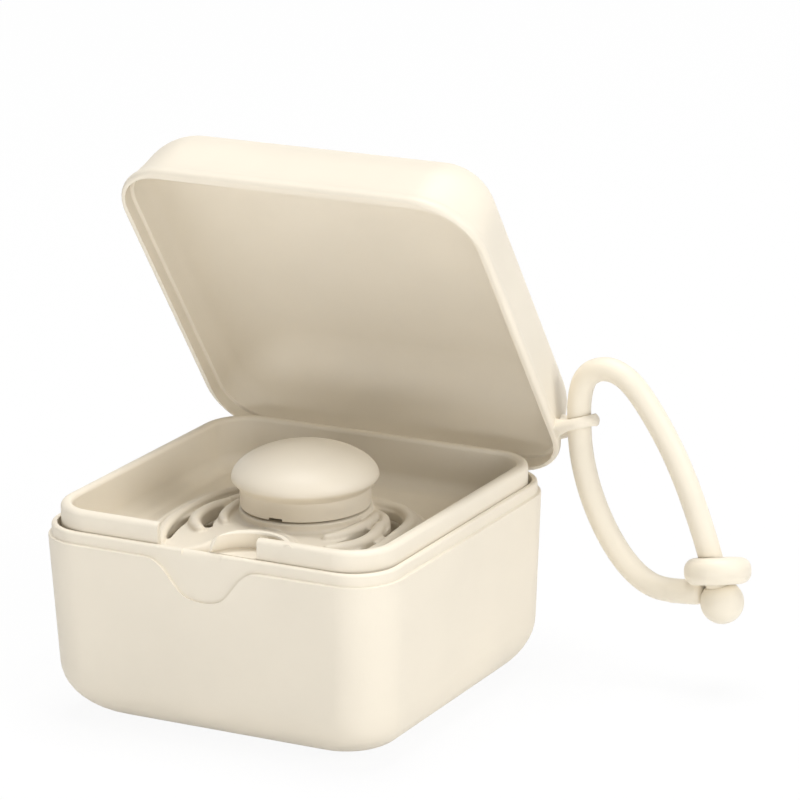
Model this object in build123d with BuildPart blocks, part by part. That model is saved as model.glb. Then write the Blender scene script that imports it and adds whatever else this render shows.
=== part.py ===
from build123d import *
import os
from math import atan, cos, pi, radians, sin, sqrt, tan

# Pacifier sterilizer case, standing open, in millimetres. The origin is the middle of the
# base's flat foot. The notched front faces -Y, the hinge is at +Y and the strap is at +X.

# ---- base: a water tub with a stepped rim --------------------------------------------------
base_half_x = 40.0            # at the rim
base_half_y = 38.9
base_height = 38.64           # up to the outer rim
base_corner = 10.4            # plan corner at the rim
base_corner_shrink = 0.21     # how much of the inset the plan corner loses going down
base_draft = 0.040            # inset for each mm of depth
base_edge = 11.8              # rounding between wall and foot
base_floor = 2.2
base_wall = 1.98
tongue_inset = 0.73           # the upper rim steps in by this
tongue_height = 2.41
tongue_round = 0.6
notch_depth = 7.9             # finger notch in the front of the outer rim
notch_half_width = 13.1
# the notch's outline from its top corner down, as shares of its half width and depth
notch_shape = [(1.0, 0.0), (0.8, 0.07), (0.626, 0.34), (0.435, 0.72), (0.214, 0.965)]
spout_width = 9.0             # rolled-over part of the rim where water is poured out
spout_round = 1.15
rib_width = 2.4
rib_spread = 40.0             # between the two ribs of one wall
rib_depth = 3.2
rib_foot = 10.0               # the ribs start this far above the foot

# ---- tray: a drop-in rim with a pierced platform -------------------------------------------
tray_clear = 0.12             # between tray and base wall, each side
tray_seat_gap = 0.2           # between the platform and the ribs under it
tray_rise = 6.43              # rim of the tray above the base's outer rim
tray_corner = 9.9
tray_wall = 2.4
tray_round = 1.0
platform_thickness = 2.0
teat_hole = 28.0              # diameter
steam_hole = 4.4
steam_ring = 22.5             # radius of the ring of steam holes
steam_count = 12
corner_hole = 7.0
corner_hole_spread = 50.0
gap_left = -10.84             # front opening of the tray rim
gap_right = 11.8
ledge_thickness = 1.5         # finger ledge, its top level with the tongue
scoop_x = 10.7                # axis of the curved wall behind the ledge
scoop_stand = 1.7             # the axis is this far in front of the base's rim
scoop_radius_low = 10.1
scoop_radius_high = 8.3
scoop_wall = 1.5

# ---- lid -----------------------------------------------------------------------------------
lid_open = 56.44              # degrees from closed, as it stands
lid_stand_x = 1.91            # the lip's end stands out past the base's rim
lid_stand_y = 2.3
lid_height = 19.81            # above the lip's end
lid_corner = 14.07
lid_draft = 0.22
lid_edge = 13.1
lid_wall = 1.5
lip_overlap = 2.6             # the lip reaches this far down over the base
lip_clear = 0.31              # between lip and base
lip_seat_gap = 0.25           # between the lid's inner ledge and the base rim
tongue_clear = 0.22           # between lid and tongue
tongue_top_clear = 0.35

# ---- hinge ---------------------------------------------------------------------------------
hinge_back = 5.08             # the axis is this far behind the base's rim
hinge_drop = 2.18             # and this far below it
hinge_spread = 34.0           # between the middles of the two hinges
barrel_radius = 2.45
knuckle_length = 5.0
knuckle_gap = 0.3
pin_radius = 1.0
pin_running_clear = 0.08
web_drop = 5.8                # the base's webs meet the wall this far below the axis
web_rise = 4.8                # the lid's webs meet the wall this far above the lip's end
web_gap = 0.4                 # between the base's webs and the lip's end

# ---- ear for the strap ---------------------------------------------------------------------
ear_stand = 3.39              # the middle of its hole is this far out from the lip's end
ear_from_back = 13.82         # and this far in front of the lid's back
ear_height = 4.24             # above the lip's end, closed
ear_tilt = 46.6               # degrees that its plane leans from the lip's plane
ear_cant = 17.0               # degrees that its outer end is raised, as it stands
ear_radius = 4.3
ear_hole_radius = 3.3
ear_thickness = 3.0
ear_hole_round = 0.8
ear_root_depth = 3.0

# ---- strap, placed from the middle of the ear's hole as the lid stands ----------------------
strap_diameter = 5.0
strap_run = [
    (23.3, -32.9), (19.6, -33.2), (15.7, -32.4), (11.8, -29.8), (8.3, -25.8), (5.0, -20.4),
    (2.1, -13.5), (0.4, -6.3), (0.0, 0.0), (0.05, 5.8), (1.6, 10.8), (6.2, 12.9), (11.1, 11.2),
    (15.5, 6.1), (20.4, -1.5), (24.0, -8.8), (27.0, -16.5), (29.5, -23.8),
]
eye_reach = 31.28             # middle of the eye
eye_drop = 27.35
eye_lean = 8.9                # degrees that its right end is raised
eye_tilt = 14.6               # degrees that its top leans back
eye_radius = 6.9
eye_thickness = 5.3
eye_hole_radius = 2.75
eye_round = 2.2
socket_radius = 2.85          # thickened end of the cord under the eye
socket_length = 4.4
ball_reach = 32.31
ball_drop = 33.89
ball_radius = 4.5
ball_clear = 0.25             # between ball and eye
ball_seat = 3.5               # the strap ends this far from the ball's middle

# ---- pacifier ------------------------------------------------------------------------------
pacifier_x = 2.0
shield_rise = 0.06            # crown of the shield above the base's outer rim
shield_thickness = 2.0
shield_sphere = 260.0         # the shield is a thin piece of a ball of this radius
shield_seat_gap = 0.3         # between the shield's lowest tips and the tray's platform
shield_lobe = 17.0            # from the middle to the middle of a front lobe
shield_half_width = 27.0
shield_back = 15.0
shield_front = 29.0
shield_nose = 16.0
shield_lobe_inner = 4.2       # how far the lobe's inner and outer shoulders lie behind its tip
shield_lobe_outer = 5.0
vent_radius = 20.6
vent_width = 4.2
vent_start = -50.0            # degrees from +X
vent_span = 72.0
hub_radius = 14.0
hub_flare = 15.0
hub_height = 1.8              # above the shield's crown
hub_flare_edge = 0.6          # height of the flare's edge below the crown
hub_flare_top = 0.3           # and of its top above it
hub_recess = 1.6
flange_radius = 9.0
bore_radius = 6.0
flange_thickness = 1.4
plug_radius = 4.2
plug_head = 1.5
plug_length = 8.5
plug_shoulder = 1.5           # the plug tapers from this far below the shield's underside
knob_radius = 15.1
knob_stem_radius = 13.4
knob_stem_height = 3.2        # above the hub
knob_lip_height = 5.9
knob_lip_round = 0.6
knob_height = 12.7
knob_wall = 1.8
knob_cavity_height = 9.0
knob_post_radius = 4.0
pry_slot_width = 3.0
pry_slot_height = 0.5
pry_slot_turn = 229.0         # degrees from +X
teat_length = 27.8           # from the shield's underside to the tip
teat_wall = 1.5
teat_waist = 5.7
teat_waist_drop = 7.3         # below the shield's underside
teat_bulb = 8.8
teat_bulb_drop = 18.8

# ---- worked out ----------------------------------------------------------------------------
tongue_top = base_height + tongue_height
lid_half_x = base_half_x + lid_stand_x
lid_half_y = base_half_y + lid_stand_y
hinge_y = base_half_y + hinge_back
hinge_z = base_height - hinge_drop
scoop_y = -base_half_y - scoop_stand
tray_half_x = base_half_x - base_wall - tray_clear
tray_half_y = base_half_y - base_wall - tray_clear
tray_rim = base_height + tray_rise
shield_top = base_height + shield_rise
shield_bottom = shield_top - shield_thickness
shield_reach = sqrt(shield_lobe ** 2 + shield_front ** 2)
shield_droop = shield_sphere - sqrt(shield_sphere ** 2 - shield_reach ** 2)
hub_top = shield_top + hub_height
knob_stem_top = hub_top + knob_stem_height
knob_lip_z = hub_top + knob_lip_height
knob_top = hub_top + knob_height
knob_cavity_top = hub_top + knob_cavity_height
recess_floor = hub_top - hub_recess
flange_top = recess_floor + flange_thickness
teat_waist_z = shield_bottom - teat_waist_drop
teat_bulb_z = shield_bottom - teat_bulb_drop
teat_tip = shield_bottom - teat_length
platform_top = shield_bottom - shield_droop - shield_seat_gap
seat_z = platform_top - platform_thickness - tray_seat_gap
lip_z = base_height - lip_overlap
rabbet_depth = lip_overlap + lip_seat_gap
relief_depth = lip_overlap + tongue_height + tongue_top_clear
least_corner = 0.9            # of a tub's closed end, in plan
arc_steps = 6                 # sections in a rounded edge


def edge_profile(height, draft, edge):
    """Insets and depths of a drafted wall that rounds over into a flat face."""
    lean = atan(draft)
    wall_end = height - edge * (1 - sin(lean))
    points = [(0.0, 0.0), (draft * wall_end, wall_end)]
    for step in range(1, arc_steps + 1):
        turn = lean + (pi / 2 - lean) * step / arc_steps
        inset = draft * wall_end + edge * (cos(lean) - cos(turn))
        points.append((inset, height - edge + edge * sin(turn)))
    return points


def rounded_tub(plane, half_x, half_y, corner, shrink, height, draft, edge):
    """A solid with a rounded rectangular plan, drafted walls and one rounded closed end."""
    points = edge_profile(height, draft, edge)
    with BuildPart() as tub:
        for inset, depth in points[:2]:
            with BuildSketch(plane.offset(depth)):
                RectangleRounded(2 * (half_x - inset), 2 * (half_y - inset),
                                 max(corner - shrink * inset, least_corner))
        loft(ruled=True)
        for inset, depth in points[1:]:
            with BuildSketch(plane.offset(depth)):
                RectangleRounded(2 * (half_x - inset), 2 * (half_y - inset),
                                 max(corner - shrink * inset, least_corner))
        loft()
    return tub.part


def rounded_block(plane, half_x, half_y, corner, depth):
    """A straight block with a rounded rectangular plan."""
    with BuildPart() as block:
        with BuildSketch(plane):
            RectangleRounded(2 * half_x, 2 * half_y, corner)
        extrude(amount=depth)
    return block.part


def along_x(x_from, x_to, y, z, radius):
    """A round bar along X."""
    with BuildPart() as bar:
        with BuildSketch(Plane.YZ.offset(x_from)):
            with Locations((y, z)):
                Circle(radius)
        extrude(amount=x_to - x_from)
    return bar.part


# ---- frames --------------------------------------------------------------------------------
foot_down = Plane(origin=(0, 0, base_height), x_dir=(1, 0, 0), z_dir=(0, 0, -1))
lean_open = radians(lid_open)
lid_up = (0, sin(lean_open), cos(lean_open))
lid_back = (0, cos(lean_open), -sin(lean_open))


def lid_point(x, y, z):
    """Where a point of the closed lid stands on the opened one."""
    dy = y - hinge_y
    dz = z - hinge_z
    return (x, hinge_y + dy * lid_back[1] + dz * lid_up[1], hinge_z + dy * lid_back[2] + dz * lid_up[2])


lid_plane = Plane(origin=lid_point(0, 0, lip_z), x_dir=(1, 0, 0), z_dir=lid_up)
lid_side = Plane(origin=lid_point(0, 0, 0), x_dir=lid_back, z_dir=(1, 0, 0))
hinge_places = [-hinge_spread / 2, hinge_spread / 2]
# the ear's plane: along the lid's lip, leant back up and canted
ear_lean = lean_open - radians(ear_tilt)
ear_rise = radians(ear_cant)
ear_middle = lid_point(lid_half_x + ear_stand, lid_half_y - ear_from_back, lip_z + ear_height)
ear_plane = Plane(origin=ear_middle,
                  x_dir=(cos(ear_rise), sin(ear_rise) * sin(ear_lean), sin(ear_rise) * cos(ear_lean)),
                  z_dir=(-sin(ear_rise), cos(ear_rise) * sin(ear_lean),
                         cos(ear_rise) * cos(ear_lean)))
ear_root = ear_stand + ear_root_depth
outer_knuckle = knuckle_length / 2 + knuckle_gap + knuckle_length

# ---- base ----------------------------------------------------------------------------------
with BuildPart() as base:
    add(rounded_tub(foot_down, base_half_x, base_half_y, base_corner, base_corner_shrink,
                    base_height, base_draft, base_edge))
    # the stepped-in tongue that the lid closes round
    with BuildSketch(Plane.XY.offset(base_height)):
        RectangleRounded(2 * (base_half_x - tongue_inset), 2 * (base_half_y - tongue_inset),
                         base_corner - tongue_inset)
    extrude(amount=tongue_height)
    fillet(base.faces().sort_by(Axis.Z)[-1].edges(), radius=tongue_round)
    # the tub's hollow
    add(rounded_tub(foot_down, base_half_x - base_wall, base_half_y - base_wall,
                    base_corner - base_wall, base_corner_shrink, base_height - base_floor,
                    base_draft, base_edge - base_wall), mode=Mode.SUBTRACT)
    add(rounded_block(Plane.XY.offset(base_height), base_half_x - base_wall,
                      base_half_y - base_wall, base_corner - base_wall, tongue_height),
        mode=Mode.SUBTRACT)
    # ribs that carry the tray
    with BuildSketch(Plane.XY.offset(rib_foot)):
        with GridLocations(rib_spread, 2 * (base_half_y - base_wall) - rib_depth, 2, 2):
            Rectangle(rib_width, rib_depth)
        with GridLocations(2 * (base_half_x - base_wall) - rib_depth, rib_spread, 2, 2):
            Rectangle(rib_depth, rib_width)
    extrude(amount=seat_z - rib_foot)
    # finger notch, cut back to the tongue's face
    with BuildSketch(Plane.XZ.offset(base_half_y - tongue_inset)):
        with BuildLine():
            half = [(share * notch_half_width, base_height - drop * notch_depth)
                    for share, drop in notch_shape]
            left = [(-x, z) for x, z in half]
            Spline(*left, (0, base_height - notch_depth), *reversed(half),
                   tangents=((1, 0), (1, 0)))
            Polyline(half[0], (notch_half_width, tongue_top), (-notch_half_width, tongue_top),
                     left[0])
        make_face()
    extrude(amount=2 * tongue_inset, mode=Mode.SUBTRACT)
    # rolled pouring edge in the middle of the front
    with BuildSketch(Plane.YZ.offset(-spout_width / 2)):
        front = -(base_half_y - tongue_inset)
        with Locations((front + spout_round / 2, tongue_top - spout_round / 2)):
            Rectangle(spout_round, spout_round)
        with Locations((front + spout_round, tongue_top - spout_round)):
            Circle(spout_round, mode=Mode.SUBTRACT)
    extrude(amount=spout_width, mode=Mode.SUBTRACT)
    # two hinges: a knuckle each side of the lid's, on a web from the wall
    for middle in hinge_places:
        for start in (middle - outer_knuckle, middle + outer_knuckle - knuckle_length):
            add(along_x(start, start + knuckle_length, hinge_y, hinge_z, barrel_radius))
            with BuildSketch(Plane.YZ.offset(start)):
                wall_y = base_half_y - base_wall / 2
                with BuildLine():
                    Polyline((wall_y, hinge_z - web_drop), (wall_y, lip_z - web_gap),
                             (hinge_y - barrel_radius, lip_z - web_gap), (hinge_y, hinge_z),
                             (hinge_y, hinge_z - barrel_radius), (wall_y, hinge_z - web_drop))
                make_face()
            extrude(amount=knuckle_length)
        add(along_x(middle - outer_knuckle, middle + outer_knuckle, hinge_y, hinge_z, pin_radius),
            mode=Mode.SUBTRACT)
base.part.label = "base"

# ---- hinge pins ----------------------------------------------------------------------------
hinge_pins = []
for middle, side in zip(hinge_places, ("left", "right")):
    with BuildPart() as hinge_pin:
        add(along_x(middle - outer_knuckle, middle + outer_knuckle, hinge_y, hinge_z, pin_radius))
    hinge_pin.part.label = "hinge_pin_" + side
    hinge_pins.append(hinge_pin)

# ---- tray ----------------------------------------------------------------------------------
platform_bottom = platform_top - platform_thickness
tray_taper = base_draft * (base_height - platform_bottom)
with BuildPart() as tray:
    with BuildSketch(Plane.XY.offset(base_height)):
        RectangleRounded(2 * tray_half_x, 2 * tray_half_y, tray_corner)
    extrude(amount=tray_rise)
    fillet(tray.faces().sort_by(Axis.Z)[-1].edges(), radius=tray_round)
    with BuildSketch(Plane.XY.offset(platform_bottom)):
        RectangleRounded(2 * (tray_half_x - tray_taper), 2 * (tray_half_y - tray_taper), tray_corner)
    with BuildSketch(Plane.XY.offset(base_height)):
        RectangleRounded(2 * tray_half_x, 2 * tray_half_y, tray_corner)
    loft(ruled=True)
    with BuildSketch(Plane.XY.offset(platform_top)):
        RectangleRounded(2 * (tray_half_x - tray_wall), 2 * (tray_half_y - tray_wall),
                         tray_corner - tray_wall)
    extrude(amount=tray_rim - platform_top, mode=Mode.SUBTRACT)
    # platform: teat hole, ring of steam holes and a hole in each corner
    with BuildSketch(Plane.XY.offset(platform_bottom)):
        Circle(teat_hole / 2)
        with PolarLocations(steam_ring, steam_count):
            Circle(steam_hole / 2)
        with GridLocations(corner_hole_spread, corner_hole_spread, 2, 2):
            Circle(corner_hole / 2)
    extrude(amount=platform_thickness, mode=Mode.SUBTRACT)
    # opening in the front of the rim
    with BuildSketch(Plane.XY.offset(tongue_top - ledge_thickness)):
        with Locations(((gap_left + gap_right) / 2, -tray_half_y)):
            Rectangle(gap_right - gap_left, 2 * tray_wall)
    extrude(amount=tray_rim - tongue_top + ledge_thickness, mode=Mode.SUBTRACT)
    # finger ledge and the curved wall behind it
    with BuildPart(mode=Mode.PRIVATE) as scoop:
        with BuildSketch(Plane.XZ.offset(-scoop_y)):
            with BuildLine():
                Polyline((scoop_x, tongue_top - ledge_thickness),
                         (scoop_x + scoop_radius_low + scoop_wall, tongue_top - ledge_thickness),
                         (scoop_x + scoop_radius_low + scoop_wall, tongue_top),
                         (scoop_x + scoop_radius_high + scoop_wall, tray_rim),
                         (scoop_x + scoop_radius_high, tray_rim),
                         (scoop_x + scoop_radius_low, tongue_top),
                         (scoop_x, tongue_top), (scoop_x, tongue_top - ledge_thickness))
            make_face()
        revolve(axis=Axis((scoop_x, scoop_y, 0), (0, 0, 1)))
        with BuildSketch(Plane.XY.offset(tongue_top - ledge_thickness)):
            with Locations((scoop_x, -tray_half_y / 2)):
                Rectangle(4 * scoop_radius_low, tray_half_y)
        extrude(amount=tray_rim - tongue_top + ledge_thickness, mode=Mode.INTERSECT)
    add(scoop.part)
tray.part.label = "tray"

# ---- lid -----------------------------------------------------------------------------------
with BuildPart() as lid:
    add(rounded_tub(lid_plane, lid_half_x, lid_half_y, lid_corner, 1.0, lid_height, lid_draft,
                    lid_edge))
    # ear for the strap, rooted in the wall before the inside is cut away
    with BuildPart(mode=Mode.PRIVATE) as ear:
        with BuildSketch(ear_plane.offset(-ear_thickness / 2)):
            Circle(ear_radius)
            with Locations((-ear_root / 2, 0)):
                Rectangle(ear_root, 2 * ear_radius)
            Circle(ear_hole_radius, mode=Mode.SUBTRACT)
        extrude(amount=ear_thickness)
        fillet(ear.edges().filter_by(GeomType.CIRCLE).group_by(SortBy.RADIUS)[0],
               radius=ear_hole_round)
    add(ear.part)
    # the hollow
    add(rounded_tub(lid_plane, lid_half_x - lid_wall, lid_half_y - lid_wall,
                    lid_corner - lid_wall, 1.0, lid_height - lid_wall, lid_draft,
                    lid_edge - lid_wall), mode=Mode.SUBTRACT)
    # rabbet that closes over the base, and relief round the tongue
    add(rounded_block(lid_plane.offset(-ear_radius), base_half_x + lip_clear,
                      base_half_y + lip_clear, base_corner + lip_clear,
                      rabbet_depth + ear_radius), mode=Mode.SUBTRACT)
    add(rounded_block(lid_plane, base_half_x - tongue_inset + tongue_clear,
                      base_half_y - tongue_inset + tongue_clear,
                      base_corner - tongue_inset + tongue_clear, relief_depth),
        mode=Mode.SUBTRACT)
    # one knuckle for each hinge, on a web from the back of the lip
    for middle in hinge_places:
        start = middle - knuckle_length / 2
        add(along_x(start, start + knuckle_length, hinge_y, hinge_z, barrel_radius))
        with BuildSketch(lid_side.offset(start)):
            wall_y = lid_half_y - lid_wall / 2
            with BuildLine():
                Polyline((wall_y, lip_z), (wall_y, lip_z + web_rise),
                         (hinge_y, hinge_z + barrel_radius), (hinge_y, lip_z), (wall_y, lip_z))
            make_face()
        extrude(amount=knuckle_length)
        add(along_x(start, start + knuckle_length, hinge_y, hinge_z,
                    pin_radius + pin_running_clear), mode=Mode.SUBTRACT)
lid.part.label = "lid"

# ---- strap: a moulded cord, its eye and its ball -------------------------------------------
# The cord leaves the socket under the eye, rises through the lid's ear, folds over and comes
# down through the eye into the ball.
def strap_point(reach, rise):
    """A point of the strap, by its place from the middle of the ear's hole."""
    return Vector(ear_middle[0] + reach, ear_middle[1], ear_middle[2] + rise)


ball_middle = strap_point(ball_reach, -ball_drop)
strap_points = [strap_point(reach, rise) for reach, rise in strap_run]
end_dir = (ball_middle - strap_points[-1]).normalized()
strap_end = ball_middle - end_dir * ball_seat
strap_points.append(strap_end)


def bend_radii(points):
    """The largest tangent arc that each corner's two runs allow."""
    radii = []
    for before, here, after in zip(points, points[1:], points[2:]):
        run = min((here - before).length, (after - here).length)
        turn = radians((here - before).get_angle(after - here))
        radii.append(0.45 * run / tan(turn / 2))
    return radii


strap_radii = bend_radii(strap_points)
with BuildPart() as strap_cord:
    with BuildLine() as strap_path:
        FilletPolyline(*strap_points, radius=strap_radii)
    with BuildSketch(Plane(origin=strap_points[0], z_dir=strap_points[1] - strap_points[0])):
        Circle(strap_diameter / 2)
    sweep()
strap_cord.part.label = "strap_cord"
strap_length = strap_path.wires()[0].length

eye_plane = Plane(origin=strap_point(eye_reach, -eye_drop),
                  x_dir=(cos(radians(eye_lean)), 0, sin(radians(eye_lean))),
                  z_dir=(-sin(radians(eye_lean)) * cos(radians(eye_tilt)), sin(radians(eye_tilt)),
                         cos(radians(eye_lean)) * cos(radians(eye_tilt))))
with BuildPart() as strap_eye:
    with BuildSketch(eye_plane.offset(-eye_thickness / 2)):
        Circle(eye_radius)
    extrude(amount=eye_thickness)
    fillet(strap_eye.edges().filter_by(GeomType.CIRCLE), radius=eye_round)
    # the socket that the cord runs into
    with BuildSketch(Plane(origin=strap_points[0], z_dir=strap_points[0] - strap_points[1])):
        Circle(socket_radius)
    extrude(amount=socket_length)
    # the hole that the cord comes down through, and room for the ball
    with BuildSketch(Plane(origin=strap_end, z_dir=end_dir)):
        Circle(eye_hole_radius)
    extrude(amount=-3 * eye_radius, mode=Mode.SUBTRACT)
    with Locations(ball_middle):
        Sphere(ball_radius + ball_clear, mode=Mode.SUBTRACT)
strap_eye.part.label = "strap_eye"

with BuildPart() as strap_ball:
    with Locations(ball_middle):
        Sphere(ball_radius)
    split(bisect_by=Plane(origin=strap_end, z_dir=end_dir), keep=Keep.TOP)
strap_ball.part.label = "strap_ball"

# ---- pacifier ------------------------------------------------------------------------------
pacifier_axis = Axis((pacifier_x, 0, 0), (0, 0, 1))
pacifier_plan = Plane(origin=(pacifier_x, 0, 0), x_dir=(1, 0, 0), z_dir=(0, 0, 1))
pacifier_side = Plane(origin=(pacifier_x, 0, 0), x_dir=(1, 0, 0), z_dir=(0, -1, 0))

with BuildPart() as pacifier_shield:
    outline = [(0, -shield_nose), (0.63 * shield_lobe, -shield_front + shield_lobe_inner),
               (shield_lobe, -shield_front),
               (0.87 * shield_half_width, -shield_front + shield_lobe_outer),
               (shield_half_width, -0.36 * shield_front),
               (0.86 * shield_half_width, 0.36 * shield_back), (0, shield_back)]
    with BuildSketch(pacifier_plan.offset(platform_top)):
        with BuildLine():
            Spline(*outline, tangents=((1, 0), (-1, 0)))
            mirror(about=Plane.YZ)
        make_face()
        for start_angle in (vent_start, 180 - vent_start - vent_span):
            SlotArc(CenterArc((0, 0), vent_radius, start_angle, vent_span), vent_width,
                    mode=Mode.SUBTRACT)
    extrude(amount=hub_top - platform_top)
    with BuildPart(mode=Mode.PRIVATE) as skin:
        with Locations((pacifier_x, 0, shield_top - shield_sphere)):
            Sphere(shield_sphere)
            Sphere(shield_sphere - shield_thickness, mode=Mode.SUBTRACT)
    add(skin.part, mode=Mode.INTERSECT)
    # hub: a flared boss, recessed for the teat's flange
    with BuildSketch(pacifier_side):
        with BuildLine():
            Polyline((0, shield_bottom), (hub_flare, shield_bottom),
                     (hub_flare, shield_top - hub_flare_edge),
                     (hub_radius, shield_top + hub_flare_top),
                     (hub_radius, hub_top), (0, hub_top), (0, shield_bottom))
        make_face()
    revolve(axis=pacifier_axis)
    with Locations((pacifier_x, 0, hub_top)):
        CounterBoreHole(bore_radius, flange_radius, hub_recess)
pacifier_shield.part.label = "pacifier_shield"

with BuildPart() as pacifier_teat:
    with BuildSketch(pacifier_side):
        with BuildLine():
            Polyline((0, teat_waist_z), (0, flange_top), (flange_radius, flange_top),
                     (flange_radius, recess_floor), (bore_radius, recess_floor),
                     (bore_radius, shield_bottom))
            Spline((bore_radius, shield_bottom), (teat_waist, teat_waist_z), (teat_bulb, teat_bulb_z),
                   (0, teat_tip), tangents=((0, -1), (-1, 0)))
            Line((0, teat_tip), (0, teat_waist_z))
        make_face()
        # bore: the plug's hole above the waist, the hollow bulb below it
        with BuildLine():
            Polyline((0, teat_waist_z), (0, flange_top), (plug_radius, flange_top),
                     (plug_radius, teat_waist_z), (0, teat_waist_z))
        make_face(mode=Mode.SUBTRACT)
        with BuildLine():
            Spline((plug_radius, teat_waist_z), (teat_bulb - teat_wall, teat_bulb_z),
                   (0, teat_tip + teat_wall), tangents=((0, -1), (-1, 0)))
            Polyline((0, teat_tip + teat_wall), (0, teat_waist_z), (plug_radius, teat_waist_z))
        make_face(mode=Mode.SUBTRACT)
    revolve(axis=pacifier_axis)
pacifier_teat.part.label = "pacifier_teat"

with BuildPart() as pacifier_plug:
    with BuildSketch(pacifier_side):
        with BuildLine():
            Polyline((0, flange_top + plug_head), (flange_radius, flange_top + plug_head),
                     (flange_radius, flange_top), (plug_radius, flange_top),
                     (plug_radius, shield_bottom - plug_shoulder),
                     (0.6 * plug_radius, flange_top - plug_length),
                     (0, flange_top - plug_length), (0, flange_top + plug_head))
        make_face()
    revolve(axis=pacifier_axis)
pacifier_plug.part.label = "pacifier_plug"


def knob_crown(out, up):
    """A point of the dome, by its shares of the knob's radius and of the dome's height."""
    return (out * knob_radius, knob_lip_z + up * (knob_top - knob_lip_z))


with BuildPart() as pacifier_knob:
    with BuildSketch(pacifier_side):
        with BuildLine():
            Polyline((0, hub_top), (knob_stem_radius, hub_top),
                     (knob_stem_radius, knob_stem_top))
            Spline((knob_stem_radius, knob_stem_top),
                   (knob_radius - knob_lip_round, knob_lip_z - 2 * knob_lip_round),
                   (knob_radius, knob_lip_z), tangents=((1, 0.1), (0, 1)))
            Spline((knob_radius, knob_lip_z), knob_crown(0.86, 0.47), knob_crown(0.5, 0.85),
                   (0, knob_top), tangents=((0, 1), (-1, 0)))
            Line((0, knob_top), (0, hub_top))
        make_face()
        # the hollow under the dome, round a middle post that bears on the plug
        with BuildLine():
            inside = knob_stem_radius - knob_wall
            Polyline((knob_post_radius, hub_top), (inside, hub_top), (inside, knob_lip_z),
                     (knob_post_radius, knob_cavity_top), (knob_post_radius, hub_top))
        make_face(mode=Mode.SUBTRACT)
        with BuildLine():
            post_end = flange_top + plug_head
            Polyline((0, hub_top), (knob_post_radius, hub_top), (knob_post_radius, post_end),
                     (0, post_end), (0, hub_top))
        make_face(mode=Mode.SUBTRACT)
    revolve(axis=pacifier_axis)
    with Locations(Location((pacifier_x, 0, hub_top + pry_slot_height / 2), (0, 0, pry_slot_turn))):
        Box(2 * knob_radius, pry_slot_width, pry_slot_height,
            align=(Align.MIN, Align.CENTER, Align.CENTER), mode=Mode.SUBTRACT)
pacifier_knob.part.label = "pacifier_knob"

pieces = [base, *hinge_pins, tray, lid, strap_cord, strap_eye, strap_ball, pacifier_shield,
          pacifier_teat, pacifier_plug, pacifier_knob]
os.makedirs("parts", exist_ok=True)
for piece in pieces:
    export_step(piece.part, "parts/" + piece.part.label + ".step")
print("strap length", round(strap_length, 2), "volume", round(strap_cord.part.volume, 1),
      "section x length", round(pi * strap_diameter ** 2 / 4 * strap_length, 1))
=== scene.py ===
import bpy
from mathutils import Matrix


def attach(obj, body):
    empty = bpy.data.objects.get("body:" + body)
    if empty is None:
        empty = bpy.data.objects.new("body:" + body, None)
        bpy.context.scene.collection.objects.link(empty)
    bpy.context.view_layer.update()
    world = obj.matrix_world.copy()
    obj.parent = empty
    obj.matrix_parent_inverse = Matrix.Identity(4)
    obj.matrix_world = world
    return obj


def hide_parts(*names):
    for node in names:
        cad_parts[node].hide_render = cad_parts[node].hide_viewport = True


bl_info = {
    "name": "Pacifier Sterilizer Case",
    "version": (1, 0, 0),
    "blender": (4, 5, 0),
    "location": "View3D > Sidebar > Sterilizer Case",
    "description": "Dresses the packed case: tub, tray, lid, pacifier, strap and studio",
    "category": "Add Mesh",
}

from math import atan, cos, pi, radians, sin, sqrt

import bpy
from bpy.props import FloatProperty, FloatVectorProperty, PointerProperty
from bpy.types import Operator, Panel, PropertyGroup, Scene
from mathutils import Matrix, Vector

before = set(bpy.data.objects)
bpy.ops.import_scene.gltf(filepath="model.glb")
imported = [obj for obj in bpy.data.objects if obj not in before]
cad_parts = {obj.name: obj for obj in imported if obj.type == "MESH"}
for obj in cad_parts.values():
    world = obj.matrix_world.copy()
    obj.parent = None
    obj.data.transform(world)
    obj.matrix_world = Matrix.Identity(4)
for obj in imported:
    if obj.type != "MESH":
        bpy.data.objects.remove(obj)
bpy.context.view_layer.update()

MM = 0.001
# How far the walls come in for each unit of height.
TUB_DRAFT = 0.040
LID_DRAFT = 0.22
# How much their plan corners tighten for each unit that they come in.
TUB_TIGHTEN = 0.21
LID_TIGHTEN = 1.0
# Thickness of the tray's platform.
PLATFORM_THICK = 2.0
# How far a cutter stands past what it cuts.
PAST = 1
# The lip's bead: how far in from the lip's widest line, and height over its end.
LIP_BEAD = [(1.5, 6.2), (1.02, 4.2), (0.8, 2.9), (0.46, 2.2), (0.14, 1.6), (0.0, 1.0), (0.06, 0.62),
            (0.24, 0.3), (0.52, 0.08), (0.85, 0.0)]
# The step inside the lip: how far in on X, on Y and at the corner, and height over its end.
LIP_STEP = [(1.5, 2.0, 3.36, -8), (1.5, 2.0, 3.36, 2.5), (1.75, 2.2, 3.6, 2.65),
            (2.15, 2.6, 3.9, 2.72), (2.3, 2.7, 4.0, 2.9), (2.45, 2.85, 4.2, 5.1)]
# How much a knuckle's web is narrower at each end, and how its edges are eased.
WEB_INSET = 0.2
KNUCKLE_EASE = 0.3
# The ear's root: wider and thicker than the ear by, corner, and how far out along the ear.
EAR_ROOT = [(0.4, 0.7, 1.9, -4.6), (0.2, 0.35, 1.9, -3.9), (0.1, 0.1, 1.9, -3.2),
            (0.1, 0.0, 1.8, -2.2)]
# How far the ear's middle plane lies over the point where the strap's middle passes it.
EAR_LIFT = 0.15
# Underside of the knob: how far out from the stem, and height over the foot.
KNOB_UNDERSIDE = [(0.0, 44.1), (0.04, 44.4), (0.2, 44.62), (0.5, 44.85), (1.35, 45.7),
                  (1.58, 46.0), (1.67, 46.25)]
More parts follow.
